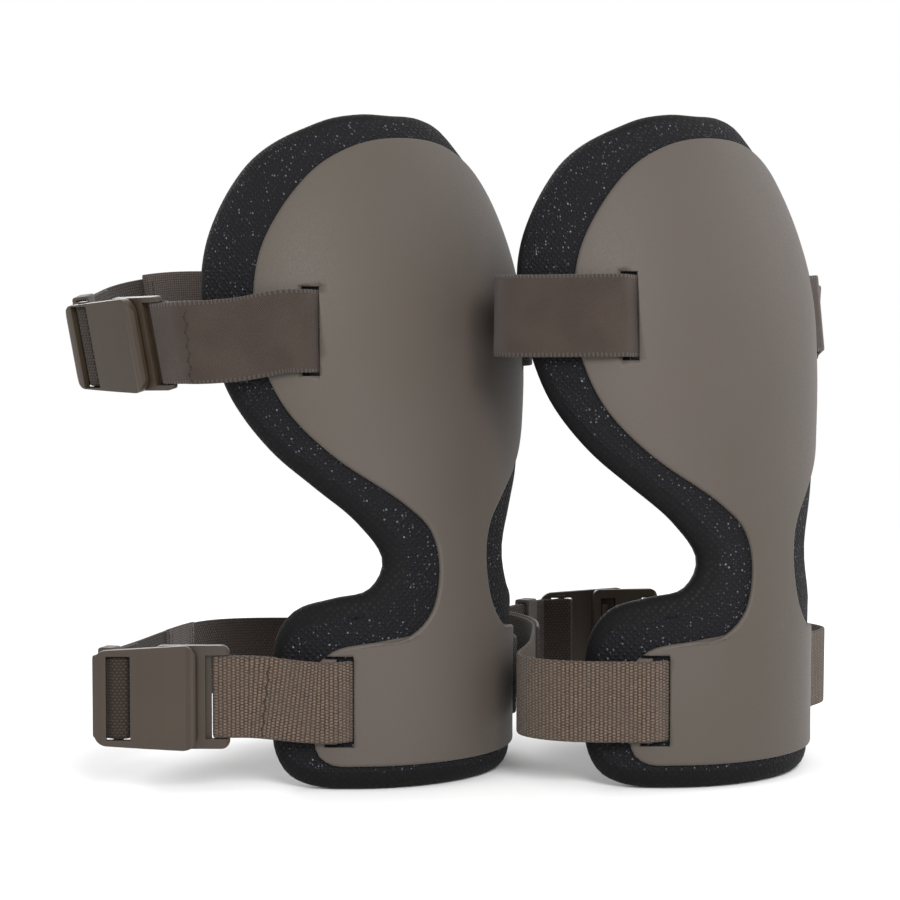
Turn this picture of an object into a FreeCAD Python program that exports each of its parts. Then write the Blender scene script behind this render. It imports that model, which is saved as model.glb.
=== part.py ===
import FreeCAD, Part
import math
import os

# A pair of hourglass knee pads with clip straps, standing upright on their lower edges.
# Units are millimetres. +Z is up the shin, the knee faces -Y, and the left pad's buckles are at -X.
# Each pad is built about its own leg axis as a left pad. The right pad is its mirror image.

V = FreeCAD.Vector
UP = V(0, 0, 1)

# ---- driving dimensions -------------------------------------------------------------------

PAD_HEIGHT = 249.0          # lower edge to the top of the foam
SKIN_TOP = 254.0            # the wrap surface is carried a little past the foam
SKIN_BOTTOM = -4.0
SKIN_HALF_ANGLE = 124.0

# Height, half depth and half width of the wrap: a round shin band, a shallow wide knee dome.
WRAP = [
    (0, 60, 60),
    (30, 60, 60),
    (60, 59.5, 61.5),
    (90, 58, 66),
    (120, 55.5, 71),
    (150, 53, 75.5),
    (180, 49.5, 76),
    (205, 43, 69.5),
    (228, 34.5, 56.5),
    (245, 26, 40),
    (258, 16, 24),
]

# Half outlines as (angle round the leg from the front, height), from bottom centre to top centre.
FOAM_EDGE = [
    (0, -1), (40, -1), (61, 0.6), (71, 5), (76.5, 14), (77, 30), (77, 44), (74, 56), (66, 65),
    (50, 70), (36, 73.5), (29.5, 84), (37.5, 98), (51.5, 111), (66, 124), (80, 142), (89, 161),
    (98, 183), (103, 206), (95, 232), (60, 245.5), (29, 249), (0, PAD_HEIGHT),
]
CAP_EDGE = [
    (0, 9), (40, 9), (52, 9.5), (57, 13), (58.5, 20), (58.5, 38), (57, 46), (50, 52),
    (38, 54.5), (25, 56), (15, 65), (11, 82), (13.5, 95), (22, 105), (43.5, 123), (57, 140),
    (64.5, 160), (66.5, 180), (64, 202), (50, 226), (31, 236.5), (0, 240),
]

# Layers, as the lift of their faces off the foam's outer face.
CAP_THICKNESS = 1.6
FABRIC_THICKNESS = 0.8
CORE_THICKNESS = 5.2
COMFORT_THICKNESS = 3.6
LINER_THICKNESS = 0.6
FABRIC_IN = -FABRIC_THICKNESS
CORE_IN = FABRIC_IN - CORE_THICKNESS
COMFORT_IN = CORE_IN - COMFORT_THICKNESS
LINER_IN = COMFORT_IN - LINER_THICKNESS
SKIN_HEM = 1.2              # fabric and liner stop this far above the lower edge

STRAP_WIDTH = 30.0
STRAP_THICKNESS = 1.5
LOWER_SLIT_ANGLE = 47.5
UPPER_SLIT_ANGLE = 47.0
LOWER_SLIT_HEIGHT = 33.0
SLIT_BEHIND = 3.4           # the slit reaches this far each way along the strap
SLIT_AHEAD = 3.0
SLIT_SPARE = 1.2            # and this far past the strap's edges

LAYER_GAP = 0.2             # between the main webbing and its tail
STACK_START = 4.0           # webbing stack begins this far from the plate's hinge line
STACK_LENGTH = 34.0
KEEPER_START = 10.0
KEEPER_LENGTH = 7.0
KEEPER_WALL = 1.2
KEEPER_CLEARANCE = 0.45

RIGHT_PAD_AT = V(81.5, -82.2, 0)
PAIR_CENTRE = V(35.48, -30.95, 0)

# Buckle, in its own axes: x from the hinge line towards the pad, z outward, y across the strap.
PLATE_START = -0.4
PLATE_END = 37.4
LOWER_PLATE_WIDTH = 38.8
UPPER_PLATE_WIDTH = 35.4
PLATE_UNDER = 1.9
PLATE_TOP = 4.7
WINDOW_START = 4.4
WINDOW_END = 13.2
WINDOW_WIDTH = 30.6
FRAME_START = 21.5
FRAME_END = 49.0
FRAME_INSET = 0.5           # the frame is this much narrower than the plate at each side
FRAME_UNDER = -1.9
FRAME_TOP = 1.4
HOOK_BAR_END = 25.0
MIDDLE_BAR_START = 31.0
MIDDLE_BAR_END = 40.2
SLOT_LEDGE_END = 42.3        # a thin ledge closes the bottom of the elastic's slot this far
END_BAR_START = 44.4
END_BAR_END = 47.8
ELASTIC_LEVEL = 0.45        # the elastic's first layer comes over the end bar here
RETURN_LEVEL = -2.95        # it passes back under the bar here
DOUBLE_LEVEL = -1.35        # and its sewn-back end runs under the first layer here
ELASTIC_START = 54.0        # where the two layers meet, beyond the frame


# ---- curves and surfaces ------------------------------------------------------------------

def wrap_value(column, height):
    """Half depth (column 1) or half width (column 2) of the wrap at a height."""
    if height <= WRAP[0][0]:
        return float(WRAP[0][column])
    last = len(WRAP) - 2
    i = 0
    while i < last and height > WRAP[i + 1][0]:
        i += 1
    h0, h1 = WRAP[i][0], WRAP[i + 1][0]
    v0, v1 = WRAP[i][column], WRAP[i + 1][column]
    before = WRAP[max(i - 1, 0)]
    after = WRAP[min(i + 2, last + 1)]
    slope0 = (v1 - before[column]) / (h1 - before[0])
    slope1 = (after[column] - v0) / (after[0] - h0)
    span = h1 - h0
    t = min((height - h0) / span, 1.0)
    t2 = t * t
    t3 = t2 * t
    value = (2 * t3 - 3 * t2 + 1) * v0 + (3 * t2 - 2 * t3) * v1
    return value + span * ((t3 - 2 * t2 + t) * slope0 + (t3 - t2) * slope1)


def skin_frame(angle, height):
    """Point on the foam's outer face, and the outward normal there."""
    a = math.radians(angle)
    step = 0.5
    depth = wrap_value(1, height)
    width = wrap_value(2, height)
    depth_slope = (wrap_value(1, height + step) - wrap_value(1, height - step)) / (2 * step)
    width_slope = (wrap_value(2, height + step) - wrap_value(2, height - step)) / (2 * step)
    sine = math.sin(a)
    cosine = math.cos(a)
    point = V(-width * sine, -depth * cosine, height)
    lean = width * depth_slope * cosine * cosine + depth * width_slope * sine * sine
    normal = V(-depth * sine, -width * cosine, -lean)
    normal.normalize()
    return point, normal


def skin_point(angle, height, lift):
    """Point lifted off the foam's outer face along the normal."""
    point, normal = skin_frame(angle, height)
    return point + normal * lift


def rounded_loop(points, per_span):
    """Closed centripetal curve through (angle, height) points, with samples on each span."""
    count = len(points)
    loop = []
    for i in range(count):
        p = [points[(i + k) % count] for k in (-1, 0, 1, 2)]
        gaps = [math.sqrt(math.dist(p[k], p[k + 1])) for k in range(3)]
        for s in range(per_span):
            t = s / per_span
            sample = []
            for axis in (0, 1):
                m0 = tangent(p[0][axis], p[1][axis], p[2][axis], gaps[0], gaps[1]) * gaps[1]
                m1 = tangent(p[1][axis], p[2][axis], p[3][axis], gaps[1], gaps[2]) * gaps[1]
                d = p[2][axis] - p[1][axis]
                value = p[1][axis] + m0 * t + (3 * d - 2 * m0 - m1) * t * t
                sample.append(value + (m0 + m1 - 2 * d) * t ** 3)
            loop.append(tuple(sample))
    return loop


def tangent(a, b, c, gap_before, gap_after):
    """Slope at b of the parabola through three unevenly spaced values."""
    return (b - a) / gap_before - (c - a) / (gap_before + gap_after) + (c - b) / gap_after


def skin_face(lift):
    """Wrap surface at a lift, wider than either outline."""
    columns = 31
    rows = 35
    grid = []
    for i in range(columns):
        angle = SKIN_HALF_ANGLE * (2 * i / (columns - 1) - 1)
        line = []
        for j in range(rows):
            height = SKIN_BOTTOM + (SKIN_TOP - SKIN_BOTTOM) * j / (rows - 1)
            line.append(skin_point(angle, height, lift))
        grid.append(line)
    surface = Part.BSplineSurface()
    surface.interpolate(grid)
    return surface.toShape()


def slab(outer_lift, inner_lift):
    """Closed solid between two wrap surfaces."""
    outer = skin_face(outer_lift)
    inner = skin_face(inner_lift)
    faces = [outer, inner]
    for edge_out, edge_in in zip(outer.Edges, inner.Edges):
        faces.append(Part.makeRuledSurface(edge_out, edge_in))
    shell = Part.Shell(faces)
    shell.sewShape()
    return oriented(Part.Solid(shell))


def oriented(solid):
    """The solid with its faces turned outward."""
    if solid.Volume < 0:
        solid.reverse()
    return solid


def outline_wall(half_edge):
    """Wall standing square to the wrap along a closed outline."""
    mirrored = [(-a, h) for a, h in reversed(half_edge[1:-1])]
    loop = rounded_loop(half_edge + mirrored, 3)
    rails = []
    for lift in (LINER_IN - 2.5, CAP_THICKNESS + 2.0):
        curve = Part.BSplineCurve()
        curve.interpolate([skin_point(a, h, lift) for a, h in loop], PeriodicFlag=True)
        rails.append(curve.toShape())
    return Part.makeRuledSurface(rails[0], rails[1])


def trimmed_layer(outer_lift, inner_lift, wall):
    """The part of a slab that lies inside an outline's wall."""
    pieces, _ = slab(outer_lift, inner_lift).generalFuse([wall])
    centre = skin_point(0, 120, (outer_lift + inner_lift) / 2)
    for solid in pieces.Solids:
        if solid.isInside(centre, 0.001, False):
            return solid
    raise RuntimeError("the outline left no layer")


# ---- straps ---------------------------------------------------------------------------------

def unit(vector):
    """A copy of the vector with length one."""
    return V(vector).normalize()


def rounded_path(corners):
    """Stations (point, across) along straight runs joined by arcs. A corner adds a radius."""
    path = [corners[0][:2]]
    for before, corner, after in zip(corners, corners[1:], corners[2:]):
        point, across, radius = corner
        back = before[0] - point
        ahead = after[0] - point
        turn = math.pi - back.getAngle(ahead)
        if turn < math.radians(3):
            path.append((point, across))
            continue
        room = 0.49 * min(back.Length, ahead.Length)
        cut = min(radius * math.tan(turn / 2), room)
        to_centre = unit(unit(back) + unit(ahead)) * (cut / math.sin(turn / 2))
        first = point + unit(back) * cut - point - to_centre
        last = point + unit(ahead) * cut - point - to_centre
        steps = max(2, round(math.degrees(turn) / 16))
        for k in range(steps + 1):
            share = k / steps
            arm = first * math.sin((1 - share) * turn) + last * math.sin(share * turn)
            path.append((point + to_centre + arm * (1 / math.sin(turn)), across))
    path.append(corners[-1][:2])
    return path


def ribbon(path, width, thickness):
    """Flat band swept along stations, kept the same thickness round its bends."""
    sections = []
    for i, (point, across) in enumerate(path):
        ways = []
        if i > 0:
            ways.append(unit(point - path[i - 1][0]))
        if i < len(path) - 1:
            ways.append(unit(path[i + 1][0] - point))
        run = unit(ways[0] + ways[-1])
        side = unit(across - run * across.dot(run)) * (width / 2)
        face = unit(run.cross(side)) * (thickness / 2 / run.dot(ways[0]))
        corners = [point - side - face, point + side - face, point + side + face, point - side + face]
        sections.append(Part.makePolygon(corners + corners[:1]))
    return oriented(Part.makeLoft(sections, True, True))


def free_run(points, first_way, last_way, first_across, last_across):
    """Stations of a hanging strand: a smooth curve with its twist spread evenly."""
    curve = Part.BSplineCurve()
    curve.interpolate(Points=points, InitialTangent=first_way, FinalTangent=last_way)
    length = curve.length()
    count = max(6, round(length / 5))
    path = []
    for i, point in enumerate(curve.discretize(Number=count)):
        share = i / (count - 1)
        path.append((point, first_across * (1 - share) + last_across * share))
    return path


def doubled_back(path, length, drop):
    """Stations laid under the end of a path at a drop, walking back along it for a length."""
    layer = []
    left = length
    for (point, across), (target, _) in zip(reversed(path), list(reversed(path))[1:]):
        way = unit(target - point)
        under = unit(across.cross(way)) * drop
        layer.append((point + under, across))
        gap = (target - point).Length
        if gap >= left:
            layer.append((point + way * left + under, across))
            return layer
        left -= gap
    return layer


class Frame:
    """Right-handed axes at a point: x along, y across, z outward."""

    def __init__(self, origin, along, across):
        self.origin = origin
        self.along = unit(along)
        self.across = unit(across - self.along * across.dot(self.along))
        self.outward = self.along.cross(self.across)

    def at(self, x, z, y=0.0):
        return self.origin + self.along * x + self.across * y + self.outward * z

    def place(self, shape):
        """The shape moved from the plain axes into these."""
        a, b, c, o = self.along, self.across, self.outward, self.origin
        matrix = FreeCAD.Matrix(a.x, b.x, c.x, o.x, a.y, b.y, c.y, o.y, a.z, b.z, c.z, o.z, 0, 0, 0, 1)
        moved = shape.copy()
        moved.Placement = FreeCAD.Placement(matrix)
        return moved


def slit_frame(angle, height):
    """Axes of a slit: x back along the strap, y along the slit, z off the foam."""
    point, normal = skin_frame(angle, height)
    up = unit(UP - normal * UP.dot(normal))
    if angle < 0:
        return Frame(point, up.cross(normal), up)
    return Frame(point, normal.cross(up), up * -1)


def slit_tab(slit):
    """Points of a strap from its buried end up through the slit."""
    return [slit.at(-16.0, -4.6), slit.at(-3.5, -1.3), slit.at(2.5, 2.9)]


def slit_exit(slit):
    """Point where a strap runs level again outside the slit."""
    return slit.at(7.0, 3.2)


# ---- buckle pieces, in the buckle's own axes --------------------------------------------------

def block(x0, x1, y0, y1, z0, z1):
    return Part.makeBox(x1 - x0, y1 - y0, z1 - z0, V(x0, y0, z0))


def plan_prism(x0, x1, half_outer, half_inner, radius, z0, z1):
    """Upright prism over a tapered plate outline with rounded corners."""
    corners = [V(x0, -half_outer, z0), V(x1, -half_inner, z0), V(x1, half_inner, z0), V(x0, half_outer, z0)]
    edges = []
    starts = []
    ends = []
    for i, corner in enumerate(corners):
        back = unit(corners[i - 1] - corner)
        ahead = unit(corners[(i + 1) % 4] - corner)
        cut = radius / math.tan(back.getAngle(ahead) / 2)
        starts.append(corner + back * cut)
        ends.append(corner + ahead * cut)
        centre = corner + unit(back + ahead) * (radius / math.sin(back.getAngle(ahead) / 2))
        middle = centre + unit(corner - centre) * radius
        edges.append(Part.Arc(starts[i], middle, ends[i]).toShape())
    for i in range(4):
        edges.append(Part.makeLine(ends[i], starts[(i + 1) % 4]))
    outline = Part.Wire(Part.__sortEdges__(edges))
    return Part.Face(outline).extrude(V(0, 0, z1 - z0))


def side_prism(profile, half_width):
    """Prism across the strap over an (x, z) profile."""
    points = [V(x, -half_width, z) for x, z in profile]
    return Part.Face(Part.makePolygon(points + points[:1])).extrude(V(0, 2 * half_width, 0))


def hook_plate(width):
    """Thumb plate: slotted for the webbing, with an adjuster bar and a hooking rib below."""
    profile = [
        (PLATE_START, PLATE_UNDER), (PLATE_END, PLATE_UNDER), (PLATE_END, PLATE_UNDER + 1.5),
        (36.9, 4.9), (36.2, 5.5), (35.2, 5.6), (34.2, 5.1), (33.4, PLATE_TOP),
        (26, 4.9), (18, 4.9), (10, PLATE_TOP), (3, 4.4), (1.0, 4.0), (PLATE_START, 3.2),
    ]
    half = width / 2
    body = side_prism(profile, half + 1)
    body = body.common(plan_prism(PLATE_START, PLATE_END, half - 2.2, half, 5.2, 0, 8))
    body = body.cut(block(WINDOW_START, WINDOW_END, -WINDOW_WIDTH / 2, WINDOW_WIDTH / 2, 0, 8))
    bar = block(7.3, 9.6, -16.0, 16.0, 0.2, 1.5)
    rib = side_prism([(25.4, 2.1), (25.4, -1.6), (27.0, -1.6), (28.2, -0.6), (28.2, 2.1)], 13.0)
    lugs = [block(6.6, 10.3, side * 16.0 - 0.6, side * 16.0 + 0.6, 0.2, 2.2) for side in (-1, 1)]
    return body.fuse([bar, rib] + lugs).removeSplitter()


def loop_frame(width):
    """Loop with a hook bar, a middle bar, and a recessed end bar between two arms for the elastic."""
    half = width / 2 - FRAME_INSET
    profile = [
        (FRAME_START, FRAME_UNDER + 0.7), (FRAME_START + 0.7, FRAME_UNDER), (47.5, FRAME_UNDER),
        (FRAME_END, -1.2), (FRAME_END, 0.3), (47.8, 1.2), (45.5, FRAME_TOP),
        (FRAME_START + 0.7, FRAME_TOP), (FRAME_START, FRAME_TOP - 0.7),
    ]
    body = side_prism(profile, half + 1)
    body = body.common(plan_prism(FRAME_START, FRAME_END, half, half, 3.0, -4, 4))
    inside = WINDOW_WIDTH / 2
    body = body.cut([
        block(HOOK_BAR_END, MIDDLE_BAR_START, -inside, inside, -4, 4),
        block(MIDDLE_BAR_END, FRAME_END + 1, -inside, inside, -4, 4),
    ])
    end_bar = block(END_BAR_START, END_BAR_END, -inside - 1, inside + 1, FRAME_UNDER, -0.6)
    ledge = block(MIDDLE_BAR_END - 1, SLOT_LEDGE_END, -inside - 1, inside + 1, FRAME_UNDER, -1.0)
    return body.fuse([end_bar, ledge]).removeSplitter()


def plate_loop(buckle):
    """Webbing round the adjuster bar, ending at the plate's outer edge."""
    across = buckle.across
    corners = [
        (buckle.at(1.9, 0.85), across, 2.0), (buckle.at(4.6, 0.85), across, 2.0),
        (buckle.at(7.0, 2.6), across, 2.0), (buckle.at(11.725, 2.6), across, 1.725),
        (buckle.at(11.725, -0.85), across, 1.725), (buckle.at(1.9, -0.85), across, 1.0),
    ]
    return ribbon(rounded_path(corners), STRAP_WIDTH, STRAP_THICKNESS)


def elastic_band(slit, route, buckle, double_length):
    """Elastic from its buried end to the loop frame, round the bar and sewn back on itself."""
    slit_across = slit.across * sign(slit, buckle)
    across = buckle.across
    frame_side = buckle.at(ELASTIC_START, ELASTIC_LEVEL)
    tab = [(point, slit_across) for point in slit_tab(slit)]
    points = [slit_exit(slit)] + route + [frame_side]
    hanging = free_run(points, slit.along, buckle.along * -1, slit_across, across)
    turn = [
        (frame_side, across, 1.3), (buckle.at(43.4, ELASTIC_LEVEL), across, 1.3),
        (buckle.at(43.4, RETURN_LEVEL), across, 1.3), (buckle.at(48.6, RETURN_LEVEL), across, 2.0),
        (buckle.at(51.6, DOUBLE_LEVEL), across, 2.0),
        (buckle.at(ELASTIC_START - 0.1, DOUBLE_LEVEL), across, 2.0),
    ]
    under = doubled_back(hanging, double_length, ELASTIC_LEVEL - DOUBLE_LEVEL)
    return ribbon(tab + hanging + rounded_path(turn)[1:-1] + under, STRAP_WIDTH, STRAP_THICKNESS)


def sign(slit, buckle):
    """Whether the slit's across and the buckle's across point the same way."""
    return 1.0 if slit.across.dot(buckle.across) > 0 else -1.0


def keeper(stack):
    """Sleeve round the webbing and its tail."""
    inner_z = LAYER_GAP / 2 + STRAP_THICKNESS + KEEPER_CLEARANCE
    inner_y = STRAP_WIDTH / 2 + KEEPER_CLEARANCE
    outer_z = inner_z + KEEPER_WALL
    outer_y = inner_y + KEEPER_WALL
    end = KEEPER_START + KEEPER_LENGTH
    sleeve = block(KEEPER_START, end, -outer_y, outer_y, -outer_z, outer_z)
    long_edges = [edge for edge in sleeve.Edges if abs(edge.BoundBox.XLength - KEEPER_LENGTH) < 0.01]
    sleeve = sleeve.makeFillet(1.1, long_edges)
    return stack.place(sleeve.cut(block(0, end + 5, -inner_y, inner_y, -inner_z, inner_z)))


# ---- one strap ------------------------------------------------------------------------------

class Strap:
    """Where one strap runs. Points are in the left pad's axes."""

    def __init__(self, slit_angle, slit_height, hinge, along, across, back, elastic, webbing,
                 double_length, plate_width):
        self.near = slit_frame(slit_angle, slit_height)
        self.far = slit_frame(-slit_angle, slit_height)
        self.buckle = Frame(hinge, along, across)
        level = self.buckle.across
        rise = -(back.x * level.x + back.y * level.y) / level.z
        self.stack = Frame(hinge, V(back.x, back.y, rise), level)
        self.elastic = elastic
        self.webbing = webbing
        self.double_length = double_length
        self.plate_width = plate_width

    def pieces(self):
        """Solids of the strap by plain name."""
        half_stack = (STRAP_THICKNESS + LAYER_GAP) / 2
        stack = self.stack
        far_across = self.far.across * sign(self.far, stack)
        end = stack.at(STACK_START + STACK_LENGTH, -half_stack)
        points = [end] + self.webbing + [slit_exit(self.far)]
        hanging = free_run(points, stack.along, self.far.along * -1, stack.across, far_across)
        tab = [(point, far_across) for point in reversed(slit_tab(self.far))]
        main = [(stack.at(STACK_START, -half_stack), stack.across)] + hanging + tab
        tail = [(stack.at(STACK_START, half_stack), stack.across),
                (stack.at(STACK_START + STACK_LENGTH - 1, half_stack), stack.across)]
        return {
            "elastic_band": elastic_band(self.near, self.elastic, self.buckle, self.double_length),
            "loop_frame": self.buckle.place(loop_frame(self.plate_width)),
            "hook_plate": self.buckle.place(hook_plate(self.plate_width)),
            "webbing_loop": plate_loop(self.buckle),
            "webbing_tail": ribbon(tail, STRAP_WIDTH, STRAP_THICKNESS),
            "rear_webbing": ribbon(main, STRAP_WIDTH, STRAP_THICKNESS),
            "keeper": keeper(stack),
        }


def left_lower():
    return Strap(
        LOWER_SLIT_ANGLE, LOWER_SLIT_HEIGHT, V(-110.5, 21.6, 35.6), V(0.69, -0.724, 0), UP,
        V(0.885, 0.466, 0), [],
        [V(-35, 61.5, 36.2), V(-8, 70, 35.4), V(22, 62, 34), V(48, 36, 33.2), V(62, 6, 33), V(62, -15, 33)],
        11.0, LOWER_PLATE_WIDTH)


def left_upper():
    return Strap(
        UPPER_SLIT_ANGLE, 168.5, V(-95, 49, 162.8), V(0.04, -1, 0.03), V(-0.2, 0.05, 0.97), V(0.85, 0.53, 0),
        [V(-75.5, -24, 166.3)],
        [V(-30, 80, 173.5), V(12, 77, 174), V(52, 54, 172.5), V(74, 26, 171), V(78.6, 4, 170),
         V(76.4, -13, 169.5)],
        8.0, UPPER_PLATE_WIDTH)


def right_lower():
    """The far side of this loop is pressed in where the pads stand against each other."""
    return Strap(
        LOWER_SLIT_ANGLE, LOWER_SLIT_HEIGHT, V(-28, 82, 39), V(-0.77, -0.63, 0), UP, V(0.97, -0.22, 0),
        [V(-73, -29, 33), V(-83, -8, 33), V(-82, 14, 35), V(-77, 34, 37.5)],
        [V(13, 60, 38), V(31, 34, 36), V(52, 18.5, 34), V(68, 8, 33), V(71.5, -8, 33), V(64, -24, 33)],
        6.0, LOWER_PLATE_WIDTH)


def right_upper():
    return Strap(
        UPPER_SLIT_ANGLE, 174.0, V(-95, 49, 168.3), V(0.04, -1, 0.03), V(-0.2, 0.05, 0.97), V(0.85, 0.53, 0),
        [V(-74, -24, 171.8)],
        [V(-43.5, 83, 176), V(-23, 88, 177), V(-6, 72, 177), V(9, 49, 176), V(31, 34, 175),
         V(54, 22, 174), V(71, 15, 174), V(80, 8.5, 174), V(82.6, 0, 174), V(78.8, -11, 174)],
        8.0, UPPER_PLATE_WIDTH)


# ---- pads -------------------------------------------------------------------------------------

def pad_layers():
    """The five bonded layers before the slits are cut."""
    foam_wall = outline_wall(FOAM_EDGE)
    cap_wall = outline_wall(CAP_EDGE)
    below = block(-200, 200, -200, 200, -60, 0)
    below_hem = block(-200, 200, -200, 200, -60, SKIN_HEM)
    return {
        "shell_cap": trimmed_layer(CAP_THICKNESS, 0, cap_wall),
        "face_fabric": trimmed_layer(0, FABRIC_IN, foam_wall).cut(below_hem),
        "foam_core": trimmed_layer(FABRIC_IN, CORE_IN, foam_wall).cut(below),
        "comfort_foam": trimmed_layer(CORE_IN, COMFORT_IN, foam_wall).cut(below),
        "inner_liner": trimmed_layer(COMFORT_IN, LINER_IN, foam_wall).cut(below_hem),
    }


def slit_cuts(slit, with_returns):
    """Cuts for one slit through the cap. Lower slits have short returns at both ends."""
    half = STRAP_WIDTH / 2 + SLIT_SPARE
    cuts = [block(-SLIT_BEHIND, SLIT_AHEAD, -half, half, -1, 4)]
    if with_returns:
        for side in (-1, 1):
            middle = side * half
            cuts.append(block(-SLIT_BEHIND, SLIT_AHEAD + 4.5, middle - 0.6, middle + 0.6, -1, 4))
    return [slit.place(cut) for cut in cuts]


def build_pad(layers, lower, upper):
    """All pieces of one pad in the left pad's axes."""
    pieces = {}
    openings = []
    straps = []
    for level, strap in (("lower", lower), ("upper", upper)):
        for name, solid in strap.pieces().items():
            pieces[level + "_" + name] = solid
        straps.append(pieces[level + "_elastic_band"])
        straps.append(pieces[level + "_rear_webbing"])
        for slit in (strap.near, strap.far):
            openings += slit_cuts(slit, level == "lower")
    pieces["shell_cap"] = layers["shell_cap"].cut(openings)
    pieces["face_fabric"] = layers["face_fabric"].cut(straps)
    pieces["foam_core"] = layers["foam_core"].cut(straps)
    pieces["comfort_foam"] = layers["comfort_foam"]
    pieces["inner_liner"] = layers["inner_liner"]
    return pieces


def build():
    layers = pad_layers()
    solids = {}
    for name, shape in build_pad(layers, left_lower(), left_upper()).items():
        solids["left_" + name] = shape
    for name, shape in build_pad(layers, right_lower(), right_upper()).items():
        mirrored = shape.mirror(V(0, 0, 0), V(1, 0, 0))
        mirrored.translate(RIGHT_PAD_AT)
        solids["right_" + name] = mirrored
    os.makedirs("parts", exist_ok=True)
    for name, shape in solids.items():
        shape.translate(PAIR_CENTRE * -1)
        shape.exportStep("parts/" + name + ".step")
    return solids


build()
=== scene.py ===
"""Looks of the knee pads: rounded laminated foam, moulded caps, woven straps and clip buckles."""
import math

import bmesh
import bpy
import numpy as np
from mathutils import Matrix, Vector


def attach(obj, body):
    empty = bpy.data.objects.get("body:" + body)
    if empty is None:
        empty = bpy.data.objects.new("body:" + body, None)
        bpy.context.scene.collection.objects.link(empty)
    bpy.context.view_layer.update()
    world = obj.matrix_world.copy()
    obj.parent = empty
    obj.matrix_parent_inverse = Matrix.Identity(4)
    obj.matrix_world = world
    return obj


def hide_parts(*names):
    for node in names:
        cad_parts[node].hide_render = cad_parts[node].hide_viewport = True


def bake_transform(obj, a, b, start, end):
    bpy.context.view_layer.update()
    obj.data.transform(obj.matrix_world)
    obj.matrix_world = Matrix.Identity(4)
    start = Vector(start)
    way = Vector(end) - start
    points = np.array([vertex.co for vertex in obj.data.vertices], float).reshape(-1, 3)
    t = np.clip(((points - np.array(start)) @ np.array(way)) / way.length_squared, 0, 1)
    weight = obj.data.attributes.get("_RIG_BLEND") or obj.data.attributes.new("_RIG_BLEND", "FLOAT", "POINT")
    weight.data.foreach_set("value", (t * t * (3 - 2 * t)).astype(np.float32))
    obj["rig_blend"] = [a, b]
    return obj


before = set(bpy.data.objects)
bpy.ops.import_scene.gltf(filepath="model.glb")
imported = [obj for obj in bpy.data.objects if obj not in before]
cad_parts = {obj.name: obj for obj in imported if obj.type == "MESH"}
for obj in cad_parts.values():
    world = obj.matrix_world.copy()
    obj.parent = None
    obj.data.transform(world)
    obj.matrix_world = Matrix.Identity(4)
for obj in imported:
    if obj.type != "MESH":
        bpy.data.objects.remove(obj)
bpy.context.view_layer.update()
MM = 0.001

# ---- the pad's wrap surface, as in the CAD (millimetres, left pad's axes)

WRAP = np.array([
    (0, 60, 60), (30, 60, 60), (60, 59.5, 61.5), (90, 58, 66), (120, 55.5, 71), (150, 53, 75.5),
    (180, 49.5, 76), (205, 43, 69.5), (228, 34.5, 56.5), (245, 26, 40), (258, 16, 24),
], float)
FOAM_EDGE = [
    (0, 0), (40, 0), (61, 0.8), (71, 5), (76.5, 14), (77, 30), (77, 44), (74, 56), (66, 65),
    (50, 70), (36, 73.5), (29.5, 84), (37.5, 98), (51.5, 111), (66, 124), (80, 142), (89, 161),
    (98, 183), (103, 206), (95, 232), (60, 245.5), (29, 249), (0, 249),
]
CAP_EDGE = [
    (0, 9), (40, 9), (52, 9.5), (57, 13), (58.5, 20), (58.5, 38), (57, 46), (50, 52),
    (38, 54.5), (25, 56), (15, 65), (11, 82), (13.5, 95), (22, 105), (43.5, 123), (57, 140),
    (64.5, 160), (66.5, 180), (64, 202), (50, 226), (31, 236.5), (0, 240),
]
FOAM_TOP = FOAM_EDGE[-1][1]
PAIR_CENTRE = np.array([35.48, -30.95, 0.0])
RIGHT_PAD_AT = np.array([81.5, -82.2, 0.0])
CAP_THICKNESS = 1.6
CORE_IN = -6.0
LINER_IN = -10.2
LAYER_GAP = 0.02             # keeps the faces of touching layers apart
LOOP_STEPS = 8               # points on an outline between two given ones
SLOPE_STEP = 0.5             # angle (degrees) or height used to measure the wrap's slope


def unit(v):
    """The vector, or each row of vectors, at length one."""
    v = np.asarray(v, float)
    return v / np.linalg.norm(v, axis=-1, keepdims=True)


def lengths_along(points):
    """Distance of each point along its path."""
    return np.concatenate([[0], np.cumsum(np.linalg.norm(np.diff(points, axis=0), axis=1))])


def hermite(t, a, b, slope_a, slope_b, span=1.0):
    """Cubic from a to b with a slope at each end."""
    ends = (2 * t**3 - 3 * t**2 + 1) * a + (3 * t**2 - 2 * t**3) * b
    return ends + span * ((t**3 - 2 * t**2 + t) * slope_a + (t**3 - t**2) * slope_b)


def wrap_values(height):
    """Half depth and half width of the wrap at heights."""
    h = np.clip(np.asarray(height, float), WRAP[0, 0], WRAP[-1, 0])
    i = np.clip(np.searchsorted(WRAP[:, 0], h, side="left") - 1, 0, len(WRAP) - 2)
    before = WRAP[np.maximum(i - 1, 0)]
    after = WRAP[np.minimum(i + 2, len(WRAP) - 1)]
    low, high = WRAP[i], WRAP[i + 1]
    span = high[..., 0] - low[..., 0]
    t = (h - low[..., 0]) / span
    out = []
    for k in (1, 2):
        slope0 = (high[..., k] - before[..., k]) / (high[..., 0] - before[..., 0])
        slope1 = (after[..., k] - low[..., k]) / (after[..., 0] - low[..., 0])
        out.append(hermite(t, low[..., k], high[..., k], slope0, slope1, span))
    return out


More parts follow.
